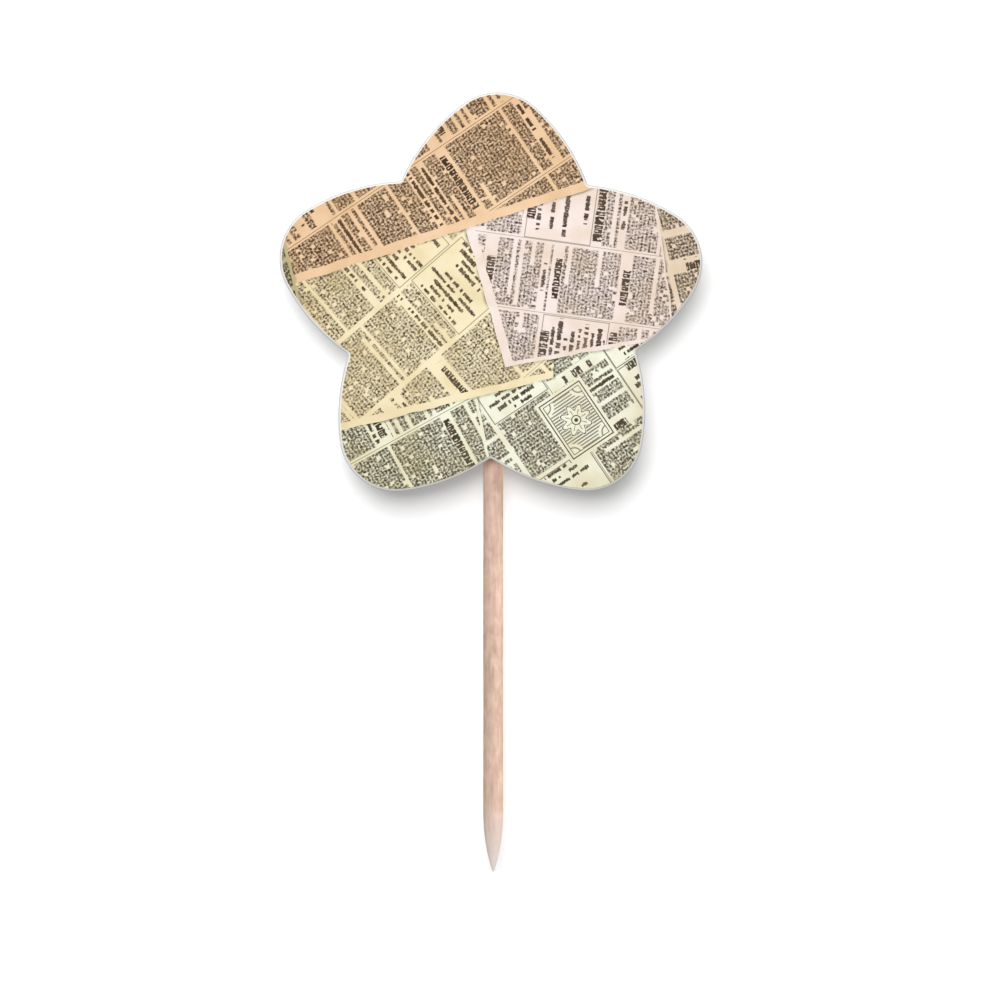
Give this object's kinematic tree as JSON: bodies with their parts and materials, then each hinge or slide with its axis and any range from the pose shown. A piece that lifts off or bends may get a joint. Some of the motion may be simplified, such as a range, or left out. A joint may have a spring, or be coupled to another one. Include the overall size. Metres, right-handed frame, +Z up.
{
  "type": "cupcake pick",
  "caption": "Printed paper flower with round petals, glued upright on a sharpened wooden stick that pushes into a cupcake.",
  "frame": {"origin": "the end of the stick's point, on the stick's axis", "axes": "+Z up along the stick to the flower, -Y out of the printed face, +X to the right as the print is looked at"},
  "size_m": [0.0423, 0.0029, 0.0782],
  "materials": {
    "printed_paper": "matte coated paper, offset printed with small dark marks on several pale tints",
    "white_board": "matte white board with die-cut edges",
    "birch": "bare sanded birch with a fine straight grain",
    "hot_melt": "milky hot-melt glue, smooth and half clear"
  },
  "bodies": {
    "root": {"printed_paper": "printed_paper", "flower_board": "white_board", "wooden_stick": "birch", "glue_bead": "hot_melt"}
  },
  "joints": []
}
